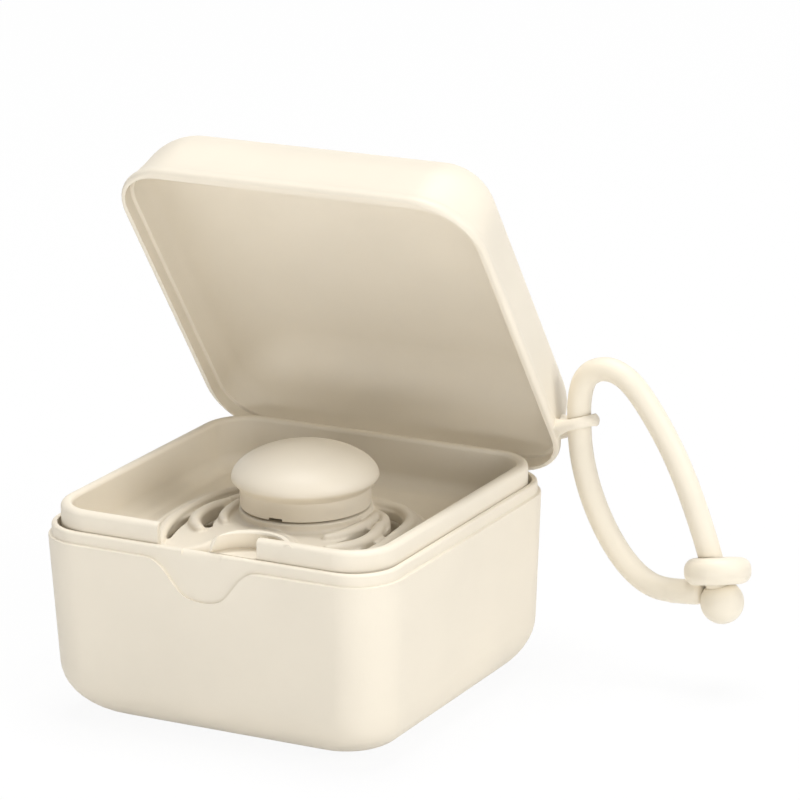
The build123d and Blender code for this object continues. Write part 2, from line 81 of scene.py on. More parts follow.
# Height of the knob's widest line over the foot.
KNOB_WIDEST = 46.4
# Socket of the eye round the strap's end: radius, and how far past that end.
EYE_SOCKET = [(2.2, -3.0), (2.56, -2.7), (2.56, 0.0), (2.6, 2.4), (2.5, 3.8), (2.1, 4.6),
              (1.2, 5.0)]
# Middle of the eye from the middle of the ear's hole.
EYE_PLACE = (0.03128, 0, -0.02735)
# Lamps of the studio: where each stands, what it faces, its width and its height.
LAMPS = {
    "key": ((2.2, -0.35, 1.1), (0, 0, 0.03), 1.2, 1.2),
    "top": ((0, 0.25, 2.0), (0, 0, 0.03), 1.0, 1.0),
    "fill": ((0.5, -1.85, 0.12), (0, 0, 0.08), 1.6, 0.2),
    "bounce": ((0.35, -0.75, 0.001), (0.35, -0.75, 1), 1.4, 0.8),
}
# Where the camera stands.
CAMERA_PLACE = (0.43459, -0.75097, 0.32182)
WHITE = (1, 1, 1, 1)
# Vents of the shield's right half: path and width, from the pacifier's middle.
SHIELD_VENTS = [
    [(19.4, -22.4, 1.2), (20.9, -18.3, 2.2), (21.3, -13.8, 2.2), (21.2, -9.8, 1.3)],
    [(14.3, -14.8, 1.6), (16.4, -12.0, 3.0), (17.0, -8.4, 3.2), (16.7, -4.2, 1.8)],
    [(11.3, 7.9, 1.8), (14.8, 7.6, 3.0), (17.8, 5.6, 2.8), (19.9, 2.0, 2.2), (20.8, -2.0, 1.6),
     (21.0, -4.6, 1.2)],
]
# Rolled ridges of the same half beside the vents: path and thickness.
SHIELD_RIDGES = [
    [(19.4, -25.6, 2.2), (21.6, -21.4, 2.6), (23.5, -15.5, 2.7), (23.8, -10.0, 2.7),
     (23.4, -4.7, 2.7), (23.0, 0.5, 2.7), (21.7, 5.2, 2.7), (18.6, 8.9, 2.7), (14.6, 10.9, 2.7),
     (10.0, 10.4, 2.4)],
    [(14.9, -17.6, 2.2), (17.1, -15.8, 2.5), (19.2, -12.2, 2.6), (19.6, -7.8, 2.6),
     (19.0, -4.2, 2.6), (18.0, -1.6, 2.4)],
    [(11.8, -12.6, 1.8), (13.4, -10.8, 2.2), (14.4, -7.6, 2.4), (14.9, -3.8, 2.4),
     (15.2, 0.0, 2.4), (14.2, 3.2, 2.0)],
    [(18.1, -0.6, 2.0), (17.4, 2.0, 2.2), (15.4, 4.2, 2.2), (12.2, 5.2, 2.0)],
]
# Where the strap's middle runs from the middle of the ear's hole: reach to the right and rise.
STRAP_RUN = [
    (0.0233, -0.0329), (0.0196, -0.0332), (0.0157, -0.0324), (0.0118, -0.0298),
    (0.0083, -0.0258), (0.0050, -0.0204), (0.0021, -0.0135), (0.0004, -0.0063), (0.0, 0.0),
    (0.00005, 0.0058), (0.0016, 0.0108), (0.0062, 0.0129), (0.0111, 0.0112), (0.0155, 0.0061),
    (0.0204, -0.0015), (0.0240, -0.0088), (0.0270, -0.0165), (0.0295, -0.0238),
    (0.03137, -0.03052),
]


def length(name, text, default):
    """A size, given in millimetres and kept in metres."""
    return FloatProperty(name=name, description=text, default=default * MM, min=0,
                         subtype="DISTANCE", unit="LENGTH", precision=5)


def rotation(name, text, degrees):
    """A turn, given in degrees and kept in radians."""
    return FloatProperty(name=name, description=text, default=radians(degrees),
                         subtype="ANGLE", unit="ROTATION")


def power(name, text, watts):
    """The power of a lamp."""
    return FloatProperty(name=name, description=text, default=watts, min=0, unit="POWER")


def colour(name, text, default):
    """A finish's colour, as linear red, green and blue."""
    return FloatVectorProperty(name=name, description=text, default=default, size=3, min=0, max=1,
                               subtype="COLOR")


class BaseSizes(PropertyGroup):
    half_x: length("Half width", "Half the tub's width at its rim", 40.0)
    half_y: length("Half depth", "Half the tub's depth at its rim", 38.9)
    height: length("Height", "Foot to the outer rim", 38.64)
    corner: length("Corner", "Plan corner at the rim", 10.4)
    edge: length("Foot rounding", "Rounding between wall and foot", 11.8)
    wall: length("Wall", "Thickness of the wall", 1.98)
    floor: length("Floor", "Thickness of the floor", 2.2)
    step: length("Rim step", "How far the upper rim steps in", 0.73)
    tongue: length("Upper rim", "Height of the upper rim", 2.41)
    notch_depth: length("Notch depth", "Depth of the finger notch", 7.9)
    notch_half: length("Notch half width", "Half the width of the finger notch", 13.1)


class TraySizes(PropertyGroup):
    half_x: length("Half width", "Half the tray's width", 37.9)
    half_y: length("Half depth", "Half the tray's depth", 36.8)
    rim: length("Rim", "Height of the tray's rim over the foot", 45.07)
    corner: length("Corner", "Plan corner", 9.9)
    wall: length("Wall", "Thickness of the rim", 2.4)
    platform: length("Platform", "Height of the pierced platform", 34.22)
    gap_left: FloatProperty(name="Gap left", description="Left end of the front opening",
                            default=-0.01084, unit="LENGTH")
    gap_right: length("Gap right", "Right end of the front opening", 11.8)
    scoop_x: length("Scoop", "Axis of the curved wall behind the ledge", 10.7)


class LidSizes(PropertyGroup):
    half_x: length("Half width", "Half the lid's width at its lip", 41.91)
    half_y: length("Half depth", "Half the lid's depth at its lip", 41.2)
    height: length("Height", "Lip to crown", 19.81)
    corner: length("Corner", "Plan corner at the lip", 14.07)
    edge: length("Crown rounding", "Rounding between wall and crown", 13.1)
    wall: length("Wall", "Thickness of the shell", 1.5)
    lip: length("Lip", "Height of the lip's end over the foot, closed", 36.04)
    hinge_y: length("Hinge Y", "Hinge axis behind the middle", 43.98)
    hinge_z: length("Hinge Z", "Hinge axis above the foot", 36.46)
    opened: rotation("Opened", "How far the lid stands open", 56.44)


class HingeSizes(PropertyGroup):
    spread: length("Spread", "Between the middles of the two hinges", 34.0)
    barrel: length("Barrel", "Radius of the knuckles", 2.45)
    knuckle: length("Knuckle", "Length of one knuckle", 5.0)
    gap: length("Gap", "Between two knuckles", 0.3)
    pin: length("Pin", "Radius of the pin's bore", 1.0)
    web_drop: length("Web drop", "Where the tub's webs meet the wall, under the axis", 5.8)
    web_rise: length("Web rise", "Where the lid's webs meet the wall, over the lip", 4.8)


class EarSizes(PropertyGroup):
    radius: length("Radius", "Outer radius of the ear", 4.3)
    hole: length("Hole", "Radius of its hole", 3.4)
    thickness: length("Thickness", "Thickness of the ear", 3.3)
    root: length("Root", "From the middle of the hole into the lid's wall", 5.1)
    lean: rotation("Lean", "Lean of the ear's plane, as the lid stands", 9.84)
    rise: rotation("Rise", "How far its outer end is raised", 17.0)


class PacifierSizes(PropertyGroup):
    x: length("Place", "How far the pacifier sits right of the middle", 2.0)
    knob_radius: length("Knob radius", "Widest radius of the knob", 15.1)
    knob_top: length("Knob top", "Height of the dome over the foot", 53.2)
    stem_radius: length("Stem radius", "Radius of the stem under the dome", 13.4)
    hub_top: length("Hub top", "Height of the seam under the stem", 40.5)
    hub_radius: length("Hub radius", "Radius of the boss under the seam", 13.6)
    half_width: length("Shield half width", "Widest reach of the shield to each side", 27.0)
    crown: length("Shield crown", "Height of the shield's middle over the foot", 38.7)
    curve: length("Shield curve", "Radius of the ball that the shield is a piece of", 260.0)
    thick: length("Shield thickness", "Thickness of the shield", 2.0)


class StrapSizes(PropertyGroup):
    diameter: length("Diameter", "Thickness of the silicone strap", 5.0)
    ear_x: length("Ear X", "Middle of the ear's hole", 45.3)
    ear_y: length("Ear Y", "Middle of the ear's hole", 37.987)
    ear_z: length("Ear Z", "Middle of the ear's hole", 52.405)


class CaseFinishes(PropertyGroup):
    shell: colour("Shell", "Cream plastic of tub, tray and lid", (0.78, 0.713, 0.595))
    pacifier: colour("Pacifier", "Cream plastic of shield and knob", (0.78, 0.71, 0.59))
    silicone: colour("Silicone", "Cream silicone of the strap", (0.80, 0.73, 0.60))
    teat: colour("Teat", "Warm natural rubber", (0.72, 0.52, 0.28))
    steel: colour("Hinge pins", "Brushed steel", (0.60, 0.59, 0.57))


class StudioSettings(PropertyGroup):
    lens: FloatProperty(name="Lens", description="Focal length of the camera", default=201.47,
                        min=1, subtype="DISTANCE_CAMERA", unit="CAMERA")
    yaw: rotation("Turn", "How far the camera stands round to the right", 28.653)
    pitch: rotation("Pitch", "How far the camera looks down", 16.697)
    roll: rotation("Roll", "Lean of the camera about its view", -1.020)
    key_power: power("Key power", "Large soft lamp", 26.0)
    top_power: power("Top power", "Soft lamp overhead", 31.0)
    fill_power: power("Fill power", "Low front lamp", 9.2)
    bounce_power: power("Bounce power", "Light up off the floor", 8.5)
    ambient: FloatProperty(name="Ambient", description="Strength of the white surroundings",
                           default=0.28, min=0)


GROUPS = {
    "base": BaseSizes, "tray": TraySizes, "lid": LidSizes, "hinge": HingeSizes, "ear": EarSizes,
    "pacifier": PacifierSizes, "strap": StrapSizes, "finishes": CaseFinishes,
    "studio": StudioSettings,
}


def settings(name):
    """One group of the scene's sizes, colours or lamp settings."""
    return getattr(bpy.context.scene, "case_" + name)


def in_mm(group, names):
    """Sizes of a group in millimetres, in the order of their names."""
    sizes = settings(group)
    return [getattr(sizes, name) / MM for name in names.split()]


# ---- finishes ----
def add_node(tree, kind, values=None):
    """Adds a shader node and sets its inputs by name."""
    node = tree.nodes.new("ShaderNode" + kind)
    for name, value in (values or {}).items():
        node.inputs[name].default_value = value
    return node


def moulded(name, tint, roughness, grain, depth, sheen=0.0):
    """A moulded finish: fine pebbled grain, slight clouding of the colour, uneven gloss."""
    if name in bpy.data.materials:
        return bpy.data.materials[name]
    material = bpy.data.materials.new(name)
    material.use_nodes = True
    tree = material.node_tree
    shader = tree.nodes["Principled BSDF"]
    shader.inputs["IOR"].default_value = 1.46
    shader.inputs["Sheen Weight"].default_value = sheen
    coordinates = add_node(tree, "TexCoord")
    pebble = add_node(tree, "TexNoise", {"Scale": grain, "Detail": 2.0})
    bump = add_node(tree, "Bump", {"Strength": 0.35, "Distance": depth})
    cloud = add_node(tree, "TexNoise", {"Scale": 45.0, "Detail": 3.0})
    shade = add_node(tree, "ValToRGB")
    dark, light = shade.color_ramp.elements
    dark.position = 0.3
    dark.color = (*(0.975 * c for c in tint), 1)
    light.position = 0.7
    light.color = (*(min(1.0, 1.02 * c) for c in tint), 1)
    gloss = add_node(tree, "MapRange", {"To Min": roughness - 0.05, "To Max": roughness + 0.05})
    for texture in (pebble, cloud):
        tree.links.new(coordinates.outputs["Object"], texture.inputs["Vector"])
    tree.links.new(pebble.outputs["Fac"], bump.inputs["Height"])
    tree.links.new(bump.outputs["Normal"], shader.inputs["Normal"])
    tree.links.new(cloud.outputs["Fac"], shade.inputs["Fac"])
    tree.links.new(shade.outputs["Color"], shader.inputs["Base Color"])
    tree.links.new(cloud.outputs["Fac"], gloss.inputs["Value"])
    tree.links.new(gloss.outputs["Result"], shader.inputs["Roughness"])
    return material


def shell_plastic():
    """Matt cream plastic of the tub, the tray and the lid."""
    return moulded("cream_shell_plastic", settings("finishes").shell, 0.52, 2600.0, 0.00003)


def pacifier_plastic():
    """Smoother cream plastic of the shield, the knob and the plug."""
    return moulded("cream_pacifier_plastic", settings("finishes").pacifier, 0.45, 3200.0, 0.00002)


def strap_silicone():
    """Cream silicone with a faint sheen."""
    return moulded("cream_silicone", settings("finishes").silicone, 0.5, 2200.0, 0.00002, 0.15)


def natural_rubber():
    """Warm and glossier rubber of the teat."""
    return moulded("natural_rubber", settings("finishes").teat, 0.3, 1500.0, 0.00002)


def pin_steel():
    """Brushed steel of the hinge pins."""
    material = moulded("brushed_steel", settings("finishes").steel, 0.32, 5200.0, 0.00001)
    material.node_tree.nodes["Principled BSDF"].inputs["Metallic"].default_value = 1.0
    return material


def dress(item, material):
    """Gives a piece this material and no other."""
    item.data.materials.clear()
    item.data.materials.append(material)


# ---- modelling ----
def deselect():
    """Leaves edit mode and deselects every object."""
    if bpy.context.object and bpy.context.object.mode != "OBJECT":
        bpy.ops.object.mode_set(mode="OBJECT")
    bpy.ops.object.select_all(action="DESELECT")


def only(item):
    """Selects one object and makes it the active one."""
    deselect()
    item.select_set(True)
    bpy.context.view_layer.objects.active = item


def loft(name, rings, steps, closed=False):
    """A skin through rings one after another: (half_x, half_y, corner, z) is a rounded
    rectangle with that many steps round a corner, and (radius, z) a circle with that many
    sides. Its ends are capped, or joined to each other where it is closed.
    It is made a thousand times larger first, and a ring at the height of the one before lies
    a hair higher, since level rings may be bridged the wrong way round."""
    deselect()
    bpy.ops.mesh.primitive_circle_add(vertices=3)
    item = bpy.context.object
    item.name = name
    bpy.ops.object.mode_set(mode="EDIT")
    bpy.ops.mesh.delete(type="VERT")
    height = None
    for ring in rings:
        bpy.ops.mesh.select_all(action="DESELECT")
        level = height is not None and abs(ring[-1] - height) < 0.02
        height = height + 0.01 if level else ring[-1]
        place_at = (0, 0, height)
        if len(ring) == 2:
            bpy.ops.mesh.primitive_circle_add(vertices=steps, radius=ring[0], location=place_at)
            bpy.ops.object.vertex_group_assign_new()
        else:
            half_x, half_y, corner = ring[:3]
            bpy.ops.mesh.primitive_plane_add(size=2, location=place_at)
            bpy.ops.transform.resize(value=(half_x, half_y, 1), center_override=place_at)
            bpy.ops.mesh.bevel(offset_type="OFFSET", offset=corner, segments=steps,
                               affect="VERTICES")
            bpy.ops.object.vertex_group_assign_new()
            bpy.ops.mesh.delete(type="ONLY_FACE")
    last = len(rings) - 1
    pairs = [(i, i + 1) for i in range(last)] + ([(last, 0)] if closed else [])
    for pair in pairs:
        select_rings(item, *pair)
        bpy.ops.mesh.bridge_edge_loops()
    for end in () if closed else (0, last):
        select_rings(item, end)
        bpy.ops.mesh.edge_face_add()
    bpy.ops.mesh.select_all(action="SELECT")
    bpy.ops.transform.resize(value=(MM, MM, MM), center_override=(0, 0, 0))
    bpy.ops.mesh.normals_make_consistent(inside=False)
    bpy.ops.object.mode_set(mode="OBJECT")
    item.vertex_groups.clear()
    return item


def split_sides(item, longest, cuts):
    """Cuts the long straight sides across, which keeps them smooth where a piece joins them."""
    only(item)
    bpy.ops.object.mode_set(mode="EDIT")
    bpy.ops.mesh.select_mode(type="EDGE")
    bpy.ops.mesh.select_all(action="DESELECT")
    bpy.ops.object.mode_set(mode="OBJECT")
    mesh = item.data
    for edge in mesh.edges:
        ends = [mesh.vertices[i].co for i in edge.vertices]
        edge.select = (ends[0] - ends[1]).length > longest * MM
    bpy.ops.object.mode_set(mode="EDIT")
    bpy.ops.mesh.subdivide(number_cuts=cuts)
    bpy.ops.mesh.select_mode(type="VERT")
    bpy.ops.object.mode_set(mode="OBJECT")


def select_rings(item, *numbers):
    """Selects the rings with these numbers and nothing else."""
    bpy.ops.mesh.select_all(action="DESELECT")
    for number in numbers:
        item.vertex_groups.active_index = number
        bpy.ops.object.vertex_group_select()


def outline_prism(name, points, low, high, plane="XZ"):
    """A straight block between low and high, with an outline given as points of a plane."""
    curve = bpy.data.curves.new(name, "CURVE")
    curve.dimensions = "2D"
    curve.fill_mode = "BOTH"
    curve.extrude = (high - low) / 2 * MM
    run = curve.splines.new("POLY")
    run.points.add(len(points) - 1)
    for point, (u, v) in zip(run.points, points):
        point.co = (u * MM, v * MM, 0, 1)
    run.use_cyclic_u = True
    block = bpy.data.objects.new(name, curve)
    bpy.context.collection.objects.link(block)
    middle = (low + high) / 2 * MM
    if plane == "XZ":
        block.location = (0, middle, 0)
        block.rotation_euler = (pi / 2, 0, 0)
    elif plane == "YZ":
        block.location = (middle, 0, 0)
        block.rotation_euler = (pi / 2, 0, pi / 2)
    else:
        block.location = (0, 0, middle)
    only(block)
    bpy.ops.object.convert(target="MESH")
    settle(block)
    bpy.ops.object.mode_set(mode="EDIT")
    bpy.ops.mesh.select_all(action="SELECT")
    bpy.ops.mesh.remove_doubles(threshold=0.000001)
    bpy.ops.mesh.dissolve_limited(angle_limit=radians(0.5))
    bpy.ops.mesh.normals_make_consistent(inside=False)
    bpy.ops.object.mode_set(mode="OBJECT")
    return block


def nurbs(name, points, resolution=8, cyclic=False):
    """A smooth curve that the given points control, not yet in the scene."""
    curve = bpy.data.curves.new(name, "CURVE")
    curve.dimensions = "3D"
    run = curve.splines.new("NURBS")
    run.points.add(len(points) - 1)
    for point, place_at in zip(run.points, points):
        point.co = (*place_at, 1)
    run.order_u = 3
    run.use_endpoint_u = not cyclic
    run.use_cyclic_u = cyclic
    run.resolution_u = resolution
    return bpy.data.objects.new(name, curve)


def smooth_line(points):
    """Points along the smooth flat line that the given ones control."""
    item = nurbs("line", [(u, v, 0) for u, v in points])
    curve = item.data
    mesh = bpy.data.meshes.new_from_object(item)
    line = [(vert.co.x, vert.co.y) for vert in mesh.vertices]
    bpy.data.meshes.remove(mesh)
    bpy.data.objects.remove(item)
    bpy.data.curves.remove(curve)
    return line


def rod(name, points, radius, roundness, resolution=8, cyclic=False):
    """A round rod along the smooth curve that the given points control, in metres."""
    item = nurbs(name, points, resolution, cyclic)
    item.data.bevel_depth = radius
    item.data.bevel_resolution = roundness
    item.data.use_fill_caps = not cyclic
    bpy.context.collection.objects.link(item)
    return item


def settle(item):
    """Puts the place and turn of a piece into its mesh."""
    only(item)
    bpy.ops.object.transform_apply(location=True, rotation=True, scale=True)


def shift(item, x=0.0, y=0.0, z=0.0):
    """Moves a piece by millimetres."""
    only(item)
    bpy.ops.transform.translate(value=(x * MM, y * MM, z * MM))
    settle(item)


def bar(x_from, x_to, y, z, radius, ease=0.0):
    """A round bar along X, its ends eased."""
    deselect()
    bpy.ops.mesh.primitive_cylinder_add(vertices=48, radius=radius * MM,
                                        depth=(x_to - x_from) * MM, rotation=(0, pi / 2, 0),
                                        location=((x_from + x_to) / 2 * MM, y * MM, z * MM))
    item = bpy.context.object
    settle(item)
    if ease:
        apply(item, "BEVEL", width=ease * MM, segments=2, limit_method="ANGLE",
              angle_limit=radians(50))
    return item


def move(item, matrix):
    """Takes a piece from where it was made to its place."""
    item.matrix_world = matrix
    settle(item)


def apply(item, kind, **values):
    """Adds a modifier and applies it."""
    only(item)
    modifier = item.modifiers.new(kind.lower(), kind)
    for name, value in values.items():
        setattr(modifier, name, value)
    bpy.ops.object.modifier_apply(modifier=modifier.name)


def carve(item, tool, operation="DIFFERENCE"):
    """Cuts a tool out of a piece, or unites or intersects them, and uses the tool up."""
    apply(item, "BOOLEAN", object=tool, operation=operation, solver="EXACT")
    bpy.data.objects.remove(tool)


def join(item, others):
    """Lays other pieces into one mesh with it, which fuse then makes one skin of."""
    only(item)
    for other in others:
        other.select_set(True)
    bpy.ops.object.join()


def fuse(item, voxel, rounds):
    """Makes one skin of all that lies in the mesh, and smooths its seams."""
    apply(item, "REMESH", mode="VOXEL", voxel_size=voxel)
    apply(item, "SMOOTH", factor=0.6, iterations=rounds)


def soften(item, width, segments, angle):
    """Rounds the hard edges and shades the piece smooth."""
    apply(item, "BEVEL", width=width * MM, segments=segments, limit_method="ANGLE",
          angle_limit=radians(angle), miter_outer="MITER_ARC")
    bpy.ops.object.shade_smooth_by_angle(angle=radians(40))
    apply(item, "WEIGHTED_NORMAL", keep_sharp=True, weight=60)


def quarter(steps):
    """Sine and cosine at even steps of a quarter turn."""
    return [(sin(i * pi / (2 * steps)), cos(i * pi / (2 * steps))) for i in range(steps + 1)]


def rounded_wall(half_x, half_y, corner, tighten, height, draft, edge, steps):
    """Rings of a drafted wall that rounds over into its closed end, from the open end."""
    lean = atan(draft)
    wall_end = height - edge * (1 - sin(lean))
    points = [(0.0, 0.0), (draft * wall_end, wall_end)]
    for step in range(1, steps + 1):
        turn = lean + (pi / 2 - lean) * step / steps
        points.append((draft * wall_end + edge * (cos(lean) - cos(turn)),
                       height - edge + edge * sin(turn)))
    return [(half_x - inset, half_y - inset, max(corner - tighten * inset, 0.9), depth)
            for inset, depth in points]


def stacked(rings, start, way):
    """The same rings with their depths counted from start, up (1) or down (-1)."""
    return [(x, y, r, start + way * depth) for x, y, r, depth in rings]


def inset_rings(half_x, half_y, corner, start, profile):
    """Rings from a profile of insets and rises over start."""
    return [(half_x - inset, half_y - inset, corner - inset, start + rise)
            for inset, rise in profile]


def standing(along, up, place_at):
    """The place of a piece whose own X and Z point along and up."""
    matrix = Matrix((along, up.cross(along), up)).transposed().to_4x4()
    matrix.translation = place_at
    return matrix


def facing(direction, place_at):
    """The place of a piece whose own Z points in a direction."""
    matrix = direction.to_track_quat("Z", "Y").to_matrix().to_4x4()
    matrix.translation = place_at
    return matrix


def place(item, body, slot, material, *nodes):
    """Finishes a piece: its material, the body it rides on and the nodes it stands for."""
    dress(item, material)
    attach(item, body)
    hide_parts(*nodes)


# ---- operators ----
class CASE_OT_base(Operator):
    """Tub with a stepped rim, a finger notch, a pouring edge, ribs and hinge knuckles"""
    bl_idname = "case.base"
    bl_label = "Tub"

    def execute(self, context):
        half_x, half_y, height, corner, edge, wall, floor = in_mm(
            "base", "half_x half_y height corner edge wall floor")
        outside = rounded_wall(half_x, half_y, corner, TUB_TIGHTEN, height, TUB_DRAFT, edge, 12)
        outside = stacked(outside, height, -1)[::-1]
        rim_start = height - 0.35
        outside[-1] = (*outside[-1][:3], rim_start)
        inside = rounded_wall(half_x - wall, half_y - wall, corner - wall, TUB_TIGHTEN,
                              height - floor, TUB_DRAFT, edge - wall, 10)
        tub = loft("tub", outside + tub_rim() + stacked(inside, height, -1), 10)
        cut_notch(tub)
        roll_pouring_edge(tub)
        add_ribs(tub)
        add_base_hinges(tub)
        soften(tub, width=0.25, segments=2, angle=50)
        place(tub, "base", "base_shell", shell_plastic(), "base")
        return {"FINISHED"}


def tub_rim():
    """The outer rim, the step in from it and the upper rim."""
    half_x, half_y, height, corner, wall, step, tongue = in_mm(
        "base", "half_x half_y height corner wall step tongue")
    profile = [(0.1, -0.1), (0.35, 0.0), (step - 0.12, 0.0), (step, 0.12), (step, tongue - 0.6),
               (step + 0.08, tongue - 0.3), (step + 0.3, tongue - 0.08), (step + 0.6, tongue),
               (wall - 0.3, tongue), (wall - 0.09, tongue - 0.09), (wall, tongue - 0.3)]
    return inset_rings(half_x, half_y, corner, height, profile)


def upper_rim():
    """Height of the upper rim over the foot."""
    height, tongue = in_mm("base", "height tongue")
    return height + tongue


def cut_notch(tub):
    """Cuts the finger notch back to the face of the upper rim."""
    half_y, height, step, depth, half = in_mm("base", "half_y height step notch_depth notch_half")
    face = half_y - step
    cut_top = upper_rim() - 0.62
    # How far out and how deep, as shares of the notch's half width and depth.
    shares = [(1.12, 0.0), (1.0, 0.0), (0.85, 0.03), (0.68, 0.22), (0.53, 0.55), (0.35, 0.9),
              (0.1, 1.0)]
    right = [(share * half, height - drop * depth) for share, drop in shares]
    line = smooth_line([(-x, z) for x, z in right] + right[::-1])
    outline = line + [(line[-1][0], cut_top), (line[0][0], cut_top)]
    carve(tub, outline_prism("notch_cut", outline, -half_y - PAST, -face + 0.01))


def roll_pouring_edge(tub):
    """Rolls the middle of the upper rim's front over, for pouring."""
    half_y, step = in_mm("base", "half_y step")
    top = upper_rim()
    face = half_y - step
    roll = 1.15
    fall = 1.7
    from_x = -4.6
    to_x = 4.4
    clear = 0.3
    arc = [(-face + roll - roll * c, top - fall + fall * s) for s, c in quarter(8)]
    outline = [(-face - clear, top - fall), *arc, (-face + roll, top + clear),
               (-face - clear, top + clear)]
    carve(tub, outline_prism("pour_cut", outline, from_x, to_x, "YZ"))


def knuckle_starts(middle):
    """Left ends of the tub's two knuckles of one hinge."""
    knuckle, gap = in_mm("hinge", "knuckle gap")
    return (middle - 1.5 * knuckle - gap, middle + 0.5 * knuckle + gap)


def hinge_middles():
    """Where the middles of the two hinges lie along X."""
    half = settings("hinge").spread / MM / 2
    return (-half, half)


def add_knuckle(item, web, start):
    """One knuckle on its web, from its left end."""
    barrel, knuckle = in_mm("hinge", "barrel knuckle")
    y, z = in_mm("lid", "hinge_y hinge_z")
    web_end = start + knuckle - WEB_INSET
    carve(item, outline_prism("web", web, start + WEB_INSET, web_end, "YZ"), "UNION")
    carve(item, bar(start, start + knuckle, y, z, barrel, KNUCKLE_EASE), "UNION")


def add_base_hinges(tub):
    """Two hinges: a knuckle on each side of the lid's, on a web from the wall."""
    barrel, knuckle, pin, drop = in_mm("hinge", "barrel knuckle pin web_drop")
    y, z, lip = in_mm("lid", "hinge_y hinge_z lip")
    half_y, wall = in_mm("base", "half_y wall")
    inner = half_y - wall / 2
    web_top = lip - 0.4
    web = [(inner, z - drop), (inner, web_top), (y - barrel, web_top), (y, z), (y, z - barrel)]
    for middle in hinge_middles():
        starts = knuckle_starts(middle)
        for start in starts:
            add_knuckle(tub, web, start)
        carve(tub, bar(starts[0] - PAST, starts[1] + knuckle + PAST, y, z, pin))


def add_ribs(tub):
    """Ribs inside the walls that carry the tray, two on each side."""
    half_x, half_y, wall = in_mm("base", "half_x half_y wall")
    top = settings("tray").platform / MM - 2.2
    foot = 10
    apart = 20
    wide = 2.4
    deep = 3.0
    from_wall = 1.72
    for reach, turned in ((half_x - wall, False), (half_y - wall, True)):
        for side in (-1, 1):
            for along in (-apart, apart):
                across = side * (reach - from_wall)
                x, y = (along, across) if turned else (across, along)
                size_x, size_y = (wide, deep) if turned else (deep, wide)
                deselect()
                bpy.ops.mesh.primitive_cube_add(
                    size=1, scale=(size_x * MM, size_y * MM, (top - foot) * MM),
                    location=(x * MM, y * MM, (top + foot) / 2 * MM))
                rib = bpy.context.object
                settle(rib)
                carve(tub, rib, "UNION")


class CASE_OT_tray(Operator):
    """Drop-in tray: rim with a front opening, pierced platform, finger ledge and curved wall"""
    bl_idname = "case.tray"
    bl_label = "Tray"

    def execute(self, context):
        tray = loft("tray_insert", tray_rings(), 10)
        pierce_platform(tray)
        open_front(tray)
        carve(tray, finger_scoop(), "UNION")
        soften(tray, width=0.35, segments=3, angle=50)
        place(tray, "tray", "tray_insert", shell_plastic(), "tray")
        return {"FINISHED"}


def tray_rings():
    """Up the outside from under the platform, over the rim and down the cove to the platform."""
    half_x, half_y, rim, corner, wall, platform = in_mm(
        "tray", "half_x half_y rim corner wall platform")
    shoulder = settings("base").height / MM
    low = platform - PLATFORM_THICK
    taper = TUB_DRAFT * (shoulder - low)
    outer = 1.1
    inner = 0.9
    cove = 3.4
    foot = [(0.5, 0.0), (0.15, 0.15), (0.0, 0.5)]
    up = [(outer * (1 - c), outer * s) for s, c in quarter(5)]
    over = [(wall - inner * (1 - s), inner * c) for s, c in quarter(5)]
    down = [(wall + cove * (1 - c), cove * (1 - s)) for s, c in quarter(7)]
    return [*inset_rings(half_x - taper, half_y - taper, corner - taper, low, foot),
            (half_x, half_y, corner, shoulder),
            *inset_rings(half_x, half_y, corner, rim - outer, up),
            *inset_rings(half_x, half_y, corner, rim - inner, over),
            *inset_rings(half_x, half_y, corner, platform, down)]


def pierce_platform(tray):
    """The hole that the teat hangs through, a circle of small holes and four corner drains."""
    platform = settings("tray").platform / MM
    teat_hole = 14.0
    circle = 22.5
    small = 2.2
    drain = 3.5
    out = 25
    holes = [(0, 0, teat_hole, 96)]
    holes += [(circle * cos(i * pi / 6), circle * sin(i * pi / 6), small, 32) for i in range(12)]
    holes += [(x, y, drain, 32) for x in (-out, out) for y in (-out, out)]
    for x, y, radius, steps in holes:
        ends = [(radius, platform - PLATFORM_THICK - PAST), (radius, platform + PAST)]
        bore = loft("bore", ends, steps)
        shift(bore, x, y)
        carve(tray, bore)


def open_front(tray):
    """The opening in the front of the rim, its left end rounded inside."""
    half_y, rim, wall, left, right = in_mm("tray", "half_y rim wall gap_left gap_right")
    ease = 1.7
    back = -half_y + wall
    front = back - ease
    round_end = [(left - ease + ease * c, front + ease * s) for s, c in quarter(6)]
    behind = back + 0.4
    low = upper_rim() - 1.5
    outline = [(right, -half_y - PAST), (left, -half_y - PAST), *round_end,
               (left - ease, behind), (right, behind)]
    carve(tray, outline_prism("gap", outline, low, rim + PAST, "XY"))


